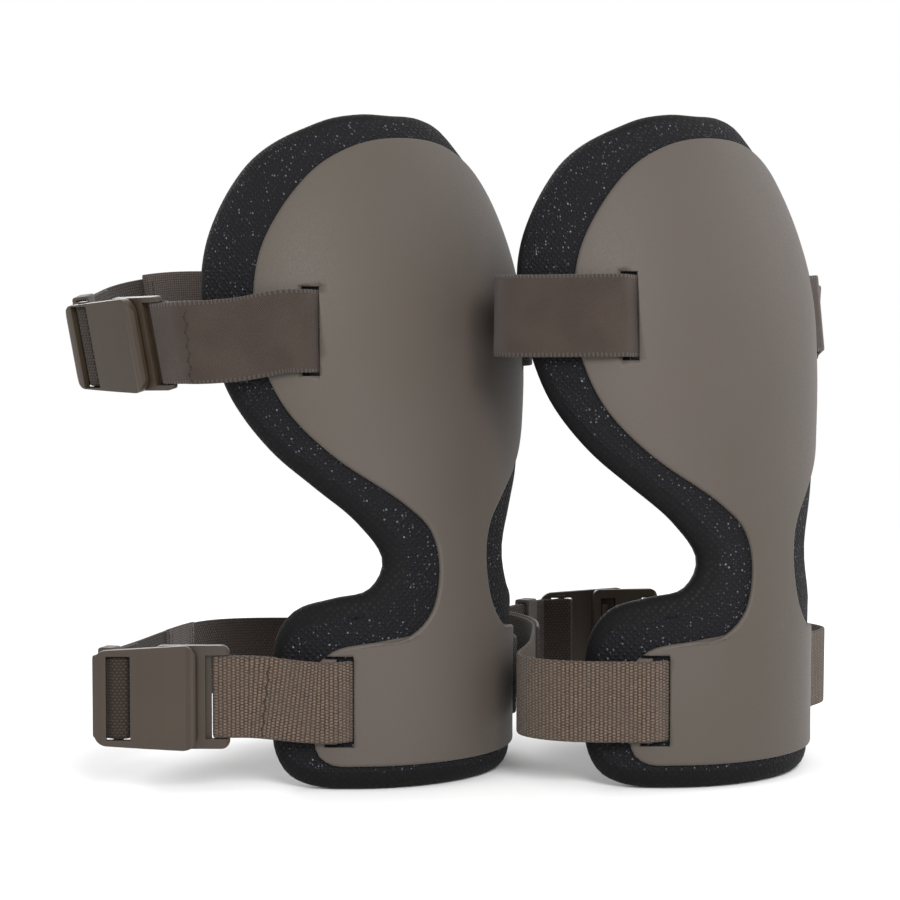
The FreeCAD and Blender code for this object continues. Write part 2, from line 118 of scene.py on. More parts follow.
def wrap_frame(angle, height):
    """Points on the foam's outer face and outward normals, for arrays of angle and height."""
    a = np.radians(angle)
    depth, width = wrap_values(height)
    depth_hi, width_hi = wrap_values(np.asarray(height) + SLOPE_STEP)
    depth_lo, width_lo = wrap_values(np.asarray(height) - SLOPE_STEP)
    point = np.stack([-width * np.sin(a), -depth * np.cos(a), height + 0 * a], -1)
    lean = width * (depth_hi - depth_lo) * np.cos(a)**2 + depth * (width_hi - width_lo) * np.sin(a)**2
    normal = np.stack([-depth * np.sin(a), -width * np.cos(a), -lean], -1)
    return point, unit(normal)


def wrap_point(angle, height, lift):
    """Points at a lift above the foam's outer face."""
    point, normal = wrap_frame(angle, height)
    return point + normal * np.asarray(lift)[..., None]


def rounded_loop(points):
    """Closed centripetal curve through (angle, height) points."""
    p = np.array(points, float)
    loop = []
    for i in range(len(p)):
        a, b, c, d = (p[(i + k) % len(p)] for k in (-1, 0, 1, 2))
        g = [math.sqrt(np.linalg.norm(v - u)) for u, v in ((a, b), (b, c), (c, d))]
        m0 = ((b - a) / g[0] - (c - a) / (g[0] + g[1]) + (c - b) / g[1]) * g[1]
        m1 = ((c - b) / g[1] - (d - b) / (g[1] + g[2]) + (d - c) / g[2]) * g[1]
        loop.extend(hermite(s / LOOP_STEPS, b, c, m0, m1) for s in range(LOOP_STEPS))
    return np.array(loop)


def resample_closed(loop, count):
    """The loop's points again, evenly spaced on the wrap."""
    pts = wrap_point(loop[:, 0], loop[:, 1], 0.0 * loop[:, 0])
    along = lengths_along(np.vstack([pts, pts[:1]]))
    closed = np.vstack([loop, loop[:1]])
    at = np.linspace(0, along[-1], count, endpoint=False)
    return np.stack([np.interp(at, along, closed[:, k]) for k in (0, 1)], -1)


def inset_loop(loop, distance):
    """The loop moved inwards by a distance measured on the wrap."""
    if distance == 0:
        return loop
    point, normal = wrap_frame(loop[:, 0], loop[:, 1])
    along = unit(np.roll(point, -1, 0) - np.roll(point, 1, 0))
    inward = np.cross(along, normal)
    centre = point.mean(0)
    if ((centre - point) * inward).sum() <= 0:
        inward = -inward
    turned, _ = wrap_frame(loop[:, 0] + SLOPE_STEP, loop[:, 1])
    raised, _ = wrap_frame(loop[:, 0], loop[:, 1] + SLOPE_STEP)
    by_angle = (turned - point) / SLOPE_STEP
    by_height = (raised - point) / SLOPE_STEP
    out = []
    for k in range(len(loop)):
        basis = np.stack([by_angle[k], by_height[k]], -1)
        out.append(loop[k] + np.linalg.lstsq(basis, inward[k] * distance, rcond=None)[0])
    return np.array(out)


# ---- meshes

ROUND_STEPS = 6              # facets round a foam or cap edge
GRID_COLUMNS = 32
GRID_ROWS = 98
FAR_FROM_RIM = 20.0
WELD = 1e-6                  # metres


def add_cloth_layer(mesh, name, uv):
    """UV layer from one pair a vertex."""
    layer = mesh.uv_layers.new(name=name)
    index = np.zeros(len(mesh.loops), int)
    mesh.loops.foreach_get("vertex_index", index)
    layer.data.foreach_set("uv", np.asarray(uv, float)[index].ravel())


def new_mesh(name, points, faces, to_world, flip=False, uv=None, materials=()):
    """Mesh object from millimetre points. uv holds one pair a vertex, in millimetres."""
    world = to_world(np.asarray(points, float)) * MM
    if flip:
        faces = [tuple(reversed(f)) for f in faces]
    mesh = bpy.data.meshes.new(name)
    mesh.from_pydata([tuple(p) for p in world], [], [tuple(f) for f in faces])
    if uv is not None:
        add_cloth_layer(mesh, "cloth", uv)
    for material in materials:
        mesh.materials.append(material)
    mesh.polygons.foreach_set("use_smooth", [True] * len(mesh.polygons))
    mesh.update()
    obj = bpy.data.objects.new(name, mesh)
    bpy.context.scene.collection.objects.link(obj)
    return obj


def left_world(points):
    return points - PAIR_CENTRE


def right_world(points):
    return points * np.array([-1.0, 1, 1]) + RIGHT_PAD_AT - PAIR_CENTRE


SIDES = {"left": (left_world, False), "right": (right_world, True)}


def laminate(half_edge, front, back, front_round, back_round):
    """Closed rounded slab on the wrap. Rounding is (width, depth). Gives points, faces, uv, rim distances."""
    columns, rows = GRID_COLUMNS, GRID_ROWS
    mirrored = [(-a, h) for a, h in reversed(half_edge[1:-1])]
    ring_count = 2 * (columns + rows)
    loop = resample_closed(rounded_loop(half_edge + mirrored), ring_count)
    # start the ring so that grid corners fall at the outline's four corners
    ring = np.roll(loop, columns // 2, axis=0)
    turns = [s / ROUND_STEPS * math.pi / 2 for s in range(ROUND_STEPS + 1)]
    quarter = [(1 - math.sin(a), 1 - math.cos(a)) for a in turns]
    profile = [(front_round[0] * w, front - front_round[1] * d) for w, d in quarter]
    profile += [(back_round[0] * w, back + back_round[1] * d) for w, d in reversed(quarter)]
    ring_sets = [inset_loop(ring, inset) for inset, _ in profile]
    points = []
    uv = []
    faces = []

    def add(angle_height, lift):
        """Adds points at a lift, none below the floor. Gives the number of the first."""
        start = len(points)
        angle, height = angle_height[:, 0], angle_height[:, 1]
        pts = wrap_point(angle, height, lift + 0 * angle)
        pts[:, 2] = np.maximum(pts[:, 2], 0.0)
        points.extend(pts)
        depth, width = wrap_values(height)
        uv.extend(np.stack([np.radians(angle) * (width + depth) / 2, height], -1))
        return start

    def grid(ring_angles):
        """Coons patch inside a ring; border points are the ring's own."""
        bottom = ring_angles[:columns + 1]
        right = ring_angles[columns:columns + rows + 1]
        top = ring_angles[columns + rows:2 * columns + rows + 1][::-1]
        left = np.vstack([ring_angles[2 * columns + rows:], ring_angles[:1]])[::-1]
        u = np.linspace(0, 1, columns + 1)[None, :, None]
        v = np.linspace(0, 1, rows + 1)[:, None, None]
        patch = (1 - v) * bottom[None] + v * top[None] + (1 - u) * left[:, None] + u * right[:, None]
        return patch - ((1 - u) * (1 - v) * bottom[0] + u * (1 - v) * bottom[-1]
                        + (1 - u) * v * top[0] + u * v * top[-1])

    starts = [add(r, lift) for r, (_, lift) in zip(ring_sets, profile)]
    for a, b in zip(starts, starts[1:]):
        for k in range(ring_count):
            after = (k + 1) % ring_count
            faces.append((a + k, a + after, b + after, b + k))
    for at, outward in ((0, True), (-1, False)):
        start = add(grid(ring_sets[at])[1:-1, 1:-1].reshape(-1, 2), profile[at][1])
        base = starts[at]

        def vertex(i, j):
            """Number of the patch's vertex in row i, column j; its border is the ring."""
            if i == 0:
                return base + j
            if j == columns:
                return base + columns + i
            if i == rows:
                return base + columns + rows + (columns - j)
            if j == 0:
                return base + 2 * columns + rows + (rows - i)
            return start + (i - 1) * (columns - 1) + (j - 1)

        for i in range(rows):
            for j in range(columns):
                quad = (vertex(i, j), vertex(i, j + 1), vertex(i + 1, j + 1), vertex(i + 1, j))
                faces.append(quad[::-1] if outward else quad)
    rim = np.full(len(points), FAR_FROM_RIM)
    for start, (inset, _) in zip(starts[:ROUND_STEPS + 1], profile):
        rim[start:start + ring_count] = inset
    for start in starts[ROUND_STEPS + 1:]:
        rim[start:start + ring_count] = 0.0
    return np.array(points), faces, np.array(uv), rim


def fix_normals(obj):
    """Welds the mesh and turns its faces outward."""
    bm = bmesh.new()
    bm.from_mesh(obj.data)
    bmesh.ops.remove_doubles(bm, verts=bm.verts, dist=WELD)
    bmesh.ops.recalc_face_normals(bm, faces=bm.faces)
    bm.to_mesh(obj.data)
    bm.free()
    obj.data.update()
    return obj


def final_mesh(obj):
    """Makes the mesh as its modifiers shape it the object's own."""
    bpy.context.view_layer.update()
    graph = bpy.context.evaluated_depsgraph_get()
    mesh = bpy.data.meshes.new_from_object(obj.evaluated_get(graph))
    obj.modifiers.clear()
    obj.data = mesh


def boolean_cut(obj, cutters):
    """Takes the cutters out of the mesh."""
    for cutter in cutters:
        modifier = obj.modifiers.new("cut", "BOOLEAN")
        modifier.operation = "DIFFERENCE"
        modifier.solver = "EXACT"
        modifier.object = cutter
    old = obj.data
    final_mesh(obj)
    bpy.data.meshes.remove(old)
    for cutter in cutters:
        bpy.data.objects.remove(cutter)


# ---- frames and paths, as in the CAD

CURVE_STEPS = 60             # points on a curve between two given ones
STRAP_STEP = 1.5             # spacing along a strap
ARC_STEP = 9.0               # degrees
STRAIGHT = 2.0               # degrees; smaller bends keep their corner
SHORTEST_STEP = 0.02


class Axes:
    """Right-handed axes at a point: x along, y across, z outward."""

    def __init__(self, origin, along, across):
        self.origin = np.asarray(origin, float)
        self.along = unit(along)
        across = np.asarray(across, float)
        self.across = unit(across - self.along * across.dot(self.along))
        self.outward = np.cross(self.along, self.across)

    def at(self, x, z, y=0.0):
        return self.origin + self.along * x + self.across * y + self.outward * z


def slit_axes(angle, height):
    """Axes in the middle of a slit, with x toward the pad's edge."""
    point, normal = wrap_frame(np.array([angle]), np.array([height]))
    point, normal = point[0], normal[0]
    up = unit(np.array([0, 0, 1.0]) - normal * normal[2])
    if angle < 0:
        return Axes(point, np.cross(up, normal), up)
    return Axes(point, np.cross(normal, up), -up)


def clamped_curve(points, first_way, last_way):
    """Smooth curve through points with given end directions, as evenly spaced points."""
    p = np.array(points, float)
    h = np.linalg.norm(np.diff(p, axis=0), axis=1)
    n = len(p)
    a = np.zeros((n, n))
    b = np.zeros((n, 3))
    a[0, 0] = a[-1, -1] = 1.0
    b[0], b[-1] = unit(first_way), unit(last_way)
    for i in range(1, n - 1):
        a[i, i - 1] = 1 / h[i - 1]
        a[i, i] = 2 * (1 / h[i - 1] + 1 / h[i])
        a[i, i + 1] = 1 / h[i]
        b[i] = 3 * ((p[i] - p[i - 1]) / h[i - 1]**2 + (p[i + 1] - p[i]) / h[i]**2)
    slope = np.linalg.solve(a, b)
    dense = []
    for i in range(n - 1):
        for t in np.linspace(0, 1, CURVE_STEPS, endpoint=False):
            dense.append(hermite(t, p[i], p[i + 1], slope[i], slope[i + 1], h[i]))
    dense.append(p[-1])
    dense = np.array(dense)
    lengths = lengths_along(dense)
    at = np.linspace(0, lengths[-1], max(2, int(round(lengths[-1] / STRAP_STEP)) + 1))
    return np.stack([np.interp(at, lengths, dense[:, k]) for k in range(3)], -1)


def arc_path(corners):
    """Points along straight runs joined by arcs. A corner is (point, radius)."""
    path = [np.asarray(corners[0][0], float)]
    for before, corner, after in zip(corners, corners[1:], corners[2:]):
        point = np.asarray(corner[0], float)
        back = np.asarray(before[0], float) - point
        ahead = np.asarray(after[0], float) - point
        ub, ua = unit(back), unit(ahead)
        turn = math.pi - math.acos(np.clip(ub.dot(ua), -1, 1))
        if turn < math.radians(STRAIGHT):
            path.append(point)
            continue
        cut = min(corner[1] * math.tan(turn / 2), 0.49 * min(np.linalg.norm(back), np.linalg.norm(ahead)))
        centre = point + unit(ub + ua) * (cut / math.sin(turn / 2))
        first, last = point + ub * cut - centre, point + ua * cut - centre
        steps = max(2, int(math.degrees(turn) / ARC_STEP))
        for k in range(steps + 1):
            s = k / steps
            arm = (first * math.sin((1 - s) * turn) + last * math.sin(s * turn)) / math.sin(turn)
            path.append(centre + arm)
    path.append(np.asarray(corners[-1][0], float))
    return path


class Ribbon:
    """A strap's centre line with its across direction at each point (millimetres)."""

    def __init__(self, points, acrosses):
        self.points = np.array(points, float)
        keep = np.ones(len(self.points), bool)
        keep[1:] = np.linalg.norm(np.diff(self.points, axis=0), axis=1) > SHORTEST_STEP
        self.points = self.points[keep]
        across = np.array(acrosses, float)[keep]
        ways = unit(np.diff(self.points, axis=0))
        run = unit(np.vstack([ways[:1], ways[:-1] + ways[1:], ways[-1:]]))
        self.across = unit(across - run * (across * run).sum(1, keepdims=True))
        self.face = np.cross(run, self.across)
        self.along = lengths_along(self.points)

    def at(self, s, y, z):
        """Point at a distance along, across and off the face."""
        out = []
        for array in (self.points, self.across, self.face):
            out.append(np.stack([np.interp(s, self.along, array[:, k]) for k in range(3)], -1))
        p, a, f = out
        return p + a * np.asarray(y)[..., None] + f * np.asarray(z)[..., None]


SELVEDGE = ((0, 0), (0.12, 0.62), (0.55, 0.92), (1.6, 1))    # distance in, share of the thickness
SELVEDGE_WIDTH = 4.0
MIDDLE_POINTS = 7
THREAD_SIDES = 6
THREAD_RADIUS = 0.2
ANY_WAY = (0.31, 0.52, 0.79)  # no thread runs this way
ZIGZAG_WIDTH = 1.1
ZIGZAG_PITCH = 2.6
ZIGZAG_LIFT = (-0.12, 0.1, -0.12)
STITCH_PITCH = 2.4
STITCH_LIFT = (-0.1, 0.12, -0.1)
STITCH_SHARE = 0.7           # of the pitch that shows as thread


def band_section(width, thickness):
    """Closed outline of a woven band, thinner at its soft edges."""
    half, t = width / 2, thickness / 2
    side = [(-half + y, t * z) for y, z in SELVEDGE]
    inner = [(y, t) for y in np.linspace(-half + SELVEDGE_WIDTH, half - SELVEDGE_WIDTH, MIDDLE_POINTS)]
    upper = side + inner + [(-y, z) for y, z in reversed(side)]
    lower = [(y, -z) for y, z in reversed(upper[1:-1])]
    return np.array(upper + lower)


def band_mesh(name, ribbon, section, to_world, flip, materials):
    """Solid band along a ribbon with cloth coordinates (along, across)."""
    n, m = len(ribbon.points), len(section)
    points = []
    uv = []
    for i in range(n):
        points.append(ribbon.points[i] + ribbon.across[i] * section[:, :1] + ribbon.face[i] * section[:, 1:])
        uv.append(np.stack([np.full(m, ribbon.along[i]), section[:, 0]], -1))
    faces = []
    for i in range(n - 1):
        for k in range(m):
            faces.append((i * m + k, i * m + (k + 1) % m, (i + 1) * m + (k + 1) % m, (i + 1) * m + k))
    for base in (0, (n - 1) * m):
        for k in range(m // 2):
            corners = (base + k, base + k + 1, base + m - k - 1, base + (m - k) % m)
            face = tuple(dict.fromkeys(corners))
            faces.append(face if base else face[::-1])
    return fix_normals(new_mesh(name, np.vstack(points), faces, to_world, flip, np.vstack(uv), materials))


def thread_mesh(name, paths, to_world):
    """Short round threads along point lists."""
    sides = THREAD_SIDES
    points = []
    faces = []
    for path in paths:
        path = np.array(path, float)
        ways = np.diff(path, axis=0)
        run = np.vstack([ways[:1], ways[:-1] + ways[1:], ways[-1:]])
        start = len(points)
        for p, w in zip(path, run):
            w = unit(w)
            a = unit(np.cross(w, ANY_WAY))
            b = np.cross(w, a)
            for k in range(sides):
                t = 2 * math.pi * k / sides
                points.append(p + (a * math.cos(t) + b * math.sin(t)) * THREAD_RADIUS)
        for i in range(len(path) - 1):
            for k in range(sides):
                c = start + i * sides
                faces.append((c + k, c + (k + 1) % sides, c + sides + (k + 1) % sides, c + sides + k))
        faces.append(tuple(start + k for k in range(sides))[::-1])
        faces.append(tuple(start + (len(path) - 1) * sides + k for k in range(sides)))
    uv = np.zeros((len(points), 2))
    return fix_normals(new_mesh(name, points, faces, to_world, False, uv, [MATERIALS["thread"]]))


def seam(ribbon, s0, half_width, lift):
    """Zig-zag seam across a ribbon's face at a distance along; its threads dip in at both ends."""
    paths = []
    y = -half_width
    side = 1
    while y + ZIGZAG_PITCH <= half_width:
        ends = np.array([[s0 - side * ZIGZAG_WIDTH / 2, y], [s0 + side * ZIGZAG_WIDTH / 2, y + ZIGZAG_PITCH]])
        stops = zip((ends[0], ends.mean(0), ends[1]), ZIGZAG_LIFT)
        paths.append([ribbon.at(s, across, lift + rise) for (s, across), rise in stops])
        side = -side
        y += ZIGZAG_PITCH
    return paths


def running_stitch(ribbon, s0, half_width, lift):
    """Row of stitches across a ribbon's face; each dips in at both ends."""
    length = STITCH_PITCH * STITCH_SHARE
    return [
        [ribbon.at(s0, y + length * q, lift + rise) for q, rise in zip((0, 0.5, 1), STITCH_LIFT)]
        for y in np.arange(-half_width, half_width - length, STITCH_PITCH)
    ]


# ---- materials

class Nodes:
    """Small helper to write a node tree as expressions."""

    def __init__(self, name):
        self.material = bpy.data.materials.new(name)
        self.material.use_nodes = True
        self.tree = self.material.node_tree
        self.shader = self.tree.nodes["Principled BSDF"]

    def put(self, value, socket):
        """Sets a socket from another one, a hex colour or a plain value."""
        if hasattr(value, "is_output"):
            self.tree.links.new(value, socket)
        else:
            socket.default_value = colour(value) if isinstance(value, str) else value

    def add(self, kind, inputs, **settings):
        node = self.tree.nodes.new(kind)
        for key, value in settings.items():
            setattr(node, key, value)
        for key, value in inputs.items():
            self.put(value, node.inputs[key])
        return node

    def math(self, operation, a, b=0.0):
        return self.add("ShaderNodeMath", {0: a, 1: b}, operation=operation).outputs[0]

    def times(self, a, b):
        return self.math("MULTIPLY", a, b)

    def plus(self, a, b):
        return self.math("ADD", a, b)

    def either_way(self, noise):
        """Noise that pushes both ways."""
        return self.math("SUBTRACT", noise, 0.5)

    def ridges(self, value, pitch=1.0):
        """A rounded ridge over every pitch of the value."""
        return self.math("ABSOLUTE", self.math("SINE", self.times(value, math.pi / pitch)))

    def swing(self, value):
        """Smoothly from 0 to 1 and back over every turn of the value (radians)."""
        inputs = {0: self.math("SINE", value), 1: 0.5, 2: 0.5}
        return self.add("ShaderNodeMath", inputs, operation="MULTIPLY_ADD").outputs[0]

    def span(self, value, low, high, to_low=0.0, to_high=1.0, kind="SMOOTHSTEP"):
        inputs = {"Value": value, "From Min": low, "From Max": high, "To Min": to_low, "To Max": to_high}
        return self.add("ShaderNodeMapRange", inputs, interpolation_type=kind).outputs["Result"]

    def uv(self, layer="cloth"):
        return self.add("ShaderNodeUVMap", {}, uv_map=layer).outputs[0]

    def place(self):
        return self.add("ShaderNodeTexCoord", {}).outputs["Object"]

    def parts(self, vector):
        """A vector's first two numbers."""
        split = self.add("ShaderNodeSeparateXYZ", {0: vector})
        return split.outputs[0], split.outputs[1]

    def noise(self, vector, scale, detail=2.0, roughness=0.5):
        inputs = {"Vector": vector, "Scale": scale, "Detail": detail, "Roughness": roughness}
        return self.add("ShaderNodeTexNoise", inputs).outputs["Fac"]

    def cells(self, vector, scale, randomness):
        inputs = {"Vector": vector, "Scale": scale, "Randomness": randomness}
        return self.add("ShaderNodeTexVoronoi", inputs, feature="F1")

    def mix(self, share, a, b):
        return self.add("ShaderNodeMix", {"Factor": share, 6: a, 7: b}, data_type="RGBA").outputs[2]

    def bump(self, height, depth, strength):
        """Relief of a depth in millimetres."""
        inputs = {"Height": height, "Distance": depth * MM, "Strength": strength}
        return self.add("ShaderNodeBump", inputs).outputs[0]

    def finish(self, base, roughness, normal=None, sheen=0.0, specular=0.5):
        self.put(base, self.shader.inputs["Base Color"])
        self.put(roughness, self.shader.inputs["Roughness"])
        self.shader.inputs["Specular IOR Level"].default_value = specular
        self.shader.inputs["Sheen Weight"].default_value = sheen
        self.shader.inputs["Sheen Roughness"].default_value = 0.5
        if normal is not None:
            self.put(normal, self.shader.inputs["Normal"])
        return self.material


SURFACE_LEVEL = 0.37         # surfaces are toned down to suit the bright studio


def colour(hex_code):
    """Linear RGBA of a display colour, toned down."""
    out = []
    for i in (0, 2, 4):
        c = int(hex_code[i:i + 2], 16) / 255
        out.append(SURFACE_LEVEL * (c / 12.92 if c <= 0.04045 else ((c + 0.055) / 1.055)**2.4))
    return (*out, 1.0)


def shell_material():
    n = Nodes("cap_plastic")
    place = n.place()
    broad = n.noise(place, scale=9.0)
    fine = n.noise(place, scale=1400.0, detail=3.0, roughness=0.6)
    scuff = n.noise(place, scale=60.0, detail=4.0, roughness=0.65)
    base = n.mix(n.span(broad, 0.35, 0.65), "6e625a", "685e53")
    base = n.mix(n.times(fine, 0.22), base, "877a70")
    base = n.mix(n.span(scuff, 0.66, 0.8, to_high=0.25), base, "8a8078")
    rough = n.span(fine, 0.3, 0.7, to_low=0.56, to_high=0.68)
    return n.finish(base, rough, n.bump(fine, depth=0.08, strength=0.5), sheen=0.05, specular=0.35)


def skin_material():
    """Black knit with raised dots and pale flecks, plain where it turns round the rim."""
    dot_pitch = 1.95
    fleck_pitch = 1.15
    n = Nodes("pebbled_knit")
    cloth = n.uv()
    from_rim, _ = n.parts(n.uv("rim"))
    flat = n.span(from_rim, 5.6, 7.6)
    turn = n.add("ShaderNodeMapping", {"Vector": cloth, "Rotation": (0, 0, math.radians(45))})
    dots = n.cells(turn.outputs[0], 1 / dot_pitch, randomness=0.3)
    dome = n.span(dots.outputs["Distance"], 0.12, 0.46, to_low=1.0, to_high=0.0)
    flecks = n.cells(cloth, 1 / fleck_pitch, randomness=0.9)
    chance = n.add("ShaderNodeSeparateColor", {0: flecks.outputs["Color"]})
    radius = n.span(chance.outputs[1], 0.0, 1.0, to_low=0.1, to_high=0.36, kind="LINEAR")
    fleck = n.math("LESS_THAN", flecks.outputs["Distance"], radius)
    patchy = n.span(n.noise(cloth, scale=0.14, detail=3.0, roughness=0.6), 0.36, 0.62, to_low=0.45)
    fleck = n.times(n.times(fleck, n.span(chance.outputs[0], 0.45, 0.95)), patchy)
    fleck = n.times(fleck, flat)
    weave = n.noise(cloth, scale=2.4, detail=3.0, roughness=0.6)
    base = n.mix(n.span(weave, 0.3, 0.7), "141416", "26262b")
    base = n.mix(n.times(dome, n.times(flat, 0.5)), base, "38383f")
    base = n.mix(n.times(fleck, 0.8), base, "b0b0be")
    base = n.mix(flat, "121213", base)
    height = n.times(n.plus(dome, n.times(weave, 0.5)), flat)
    rough = n.span(dome, 0.0, 1.0, to_low=0.8, to_high=0.6)
    return n.finish(base, rough, n.bump(height, depth=0.8, strength=0.9), specular=0.16)


def lining_material():
    n = Nodes("lining_knit")
    cloth = n.uv()
    loops = n.cells(cloth, 0.85, randomness=0.15)
    height = n.span(loops.outputs["Distance"], 0.1, 0.55, to_low=1.0, to_high=0.0)
    weave = n.noise(cloth, scale=1.2, detail=3.0, roughness=0.6)
    base = n.mix(n.span(weave, 0.3, 0.7), "222225", "2f2f34")
    base = n.mix(n.times(height, 0.3), base, "45454c")
    return n.finish(base, 0.85, n.bump(height, depth=0.3, strength=0.7), sheen=0.2, specular=0.25)


def rib_elastic_material():
    """Coarse woven elastic: staggered ribs across, uneven and fuzzy."""
    column_pitch = 1.55
    row_pitch = 1.1
    n = Nodes("ribbed_elastic")
    cloth = n.uv()
    s, y = n.parts(cloth)
    wander = n.either_way(n.noise(cloth, scale=0.9, detail=3.0, roughness=0.7))
    other = n.either_way(n.noise(cloth, scale=1.3, roughness=0.6))
    column = n.math("DIVIDE", n.plus(s, n.times(wander, 1.1)), column_pitch)
    shift = n.times(n.math("FLOOR", column), 0.5)
    row = n.plus(n.math("DIVIDE", n.plus(y, n.times(other, 0.9)), row_pitch), shift)
    knit = n.times(n.math("POWER", n.ridges(column), 0.7), n.math("POWER", n.ridges(row), 0.7))
    fuzz = n.noise(cloth, scale=2.6, detail=4.0, roughness=0.75)
    broad = n.noise(cloth, scale=0.09)
    tone = n.plus(knit, n.times(n.either_way(fuzz), 1.3))
    base = n.mix(n.span(tone, 0.05, 1.05), "45372d", "a98f79")
    base = n.mix(n.span(broad, 0.4, 0.6, to_high=0.3), base, "77665a")
    edge = n.span(n.math("ABSOLUTE", y), 14.0, 14.7)
    base = n.mix(n.times(edge, 0.5), base, "5a4d43")
    height = n.plus(knit, n.times(fuzz, 0.7))
    return n.finish(base, 0.88, n.bump(height, depth=0.5, strength=1.0), sheen=0.12, specular=0.2)


def twill_elastic_material():
    """Fine twill elastic with a locked edge."""
    twill_pitch = 0.8
    lock_pitch = 1.5
    n = Nodes("twill_elastic")
    cloth = n.uv()
    s, y = n.parts(cloth)
    diagonal = n.plus(n.math("DIVIDE", s, twill_pitch), n.math("DIVIDE", y, twill_pitch))
    line = n.swing(n.times(diagonal, 2 * math.pi))
    fuzz = n.noise(cloth, scale=1.7, detail=4.0, roughness=0.75)
    broad = n.noise(cloth, scale=0.06)
    tone = n.plus(n.times(line, 0.55), n.times(fuzz, 0.6))
    base = n.mix(n.span(tone, 0.25, 0.95), "372b25", "604d41")
    base = n.mix(n.span(broad, 0.35, 0.7, to_high=0.3), base, "66574b")
    lock = n.swing(n.times(s, 2 * math.pi / lock_pitch))
    edge = n.span(n.math("ABSOLUTE", y), 13.3, 13.7)
    base = n.mix(n.times(edge, 0.6), base, n.mix(lock, "3c322d", "73675e"))
    height = n.plus(n.times(line, 0.5), n.times(n.times(edge, lock), 1.2))
    height = n.plus(height, n.times(fuzz, 0.3))
    return n.finish(base, 0.72, n.bump(height, depth=0.3, strength=0.9), sheen=0.12, specular=0.25)


def webbing_material():
    column_pitch = 1.1
    row_pitch = 1.5
    n = Nodes("woven_webbing")
    cloth = n.uv()
    s, y = n.parts(cloth)
    column = n.math("DIVIDE", y, column_pitch)
    row = n.plus(n.math("DIVIDE", s, row_pitch), n.times(n.math("FLOOR", column), 0.5))
    weave = n.times(n.math("POWER", n.ridges(column), 0.6), n.math("POWER", n.ridges(row), 0.6))
    fuzz = n.noise(cloth, scale=2.5, detail=3.0, roughness=0.7)
    tone = n.plus(weave, n.times(n.either_way(fuzz), 0.6))
    base = n.mix(n.span(tone, 0.1, 1.0), "221914", "554438")
    return n.finish(base, 0.82, n.bump(weave, depth=0.3, strength=0.9), sheen=0.1, specular=0.25)


def overlap_material():
    n = Nodes("overlap_webbing")
    cloth = n.uv()
    s, y = n.parts(cloth)
    weave = n.times(n.ridges(y, pitch=0.9), n.ridges(s, pitch=1.1))
    fuzz = n.noise(cloth, scale=2.5, detail=3.0, roughness=0.7)
    tone = n.plus(weave, n.times(n.either_way(fuzz), 0.7))
    base = n.mix(n.span(tone, 0.1, 1.0), "54463f", "83736a")
    return n.finish(base, 0.8, n.bump(weave, depth=0.2, strength=0.8), sheen=0.15, specular=0.3)


def keeper_material():
    n = Nodes("keeper_tape")
    fine = n.noise(n.place(), scale=900.0, detail=4.0, roughness=0.7)
    base = n.mix(fine, "4a3e38", "75675d")
    return n.finish(base, 0.75, n.bump(fine, depth=0.2, strength=0.7), sheen=0.2, specular=0.3)


def buckle_material():
    n = Nodes("buckle_plastic")
    place = n.place()
    broad = n.noise(place, scale=30.0, detail=3.0)
    fine = n.noise(place, scale=2600.0, roughness=0.6)
    scratch = n.noise(place, scale=240.0, detail=6.0, roughness=0.75)
    base = n.mix(n.span(broad, 0.35, 0.65), "4e3f31", "534534")
    base = n.mix(n.span(scratch, 0.6, 0.75, to_high=0.18), base, "75695e")
    rough = n.span(broad, 0.3, 0.7, to_low=0.38, to_high=0.48)
    return n.finish(base, rough, n.bump(fine, depth=0.04, strength=0.5), specular=0.4)


def thread_material():
    n = Nodes("sewing_thread")
    fine = n.noise(n.place(), scale=3000.0)
    return n.finish(n.mix(fine, "2a201c", "4b3d36"), 0.7, specular=0.3)


MATERIALS = {
    "shell": shell_material(),
    "pebbled_skin": skin_material(),
    "lining": lining_material(),
    "lower_elastic": rib_elastic_material(),
    "upper_elastic": twill_elastic_material(),
    "webbing": webbing_material(),
    "overlap": overlap_material(),
    "keeper": keeper_material(),
    "buckle": buckle_material(),
    "thread": thread_material(),
}

# ---- pads

SLITS = {                    # angle and height of each strap's slits
    "left": {"lower": (47.5, 33.0), "upper": (47.0, 168.5)},
    "right": {"lower": (47.5, 33.0), "upper": (47.0, 174.0)},
}
SLIT_CUT = (-3.4, 3.0)       # along the wrap, from the slit's axes
RELIEF_CUT = (-3.2, 7.5)     # the two short cuts at the ends of a lower slit
RELIEF_HALF = 0.6
HALF_SLIT = 16.2
CUT_DEPTH = (-3.0, 5.0)
FACE_ROUND = (8.0, 5.2)      # roundings are (width, depth)
LINER_ROUND = (4.0, 3.4)
CAP_ROUND = (1.3, 1.1)
INNER_ROUND = {"face": (0.6, 0.6), "comfort": (0.5, 0.5), "cap": (0.3, 0.3)}
CROWN_START = 205.0
CROWN_FULLNESS = 2.6         # the soft crown stands this much above the sewn outline


def make_laminate(side, name, slot, half_edge, front, back, front_round, back_round):
    """Slab on a pad, with a second cloth layer that says how far each point is from the rim."""
    to_world, flip = SIDES[side]
    points, faces, uv, rim = laminate(half_edge, front, back, front_round, back_round)
    obj = new_mesh(side + name, points, faces, to_world, flip, uv, [MATERIALS[slot]])
    add_cloth_layer(obj.data, "rim", np.stack([rim, 0 * rim], -1))
    obj.data.uv_layers.active_index = 0
    fix_normals(obj)
    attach(obj, side + "_pad")
    return obj


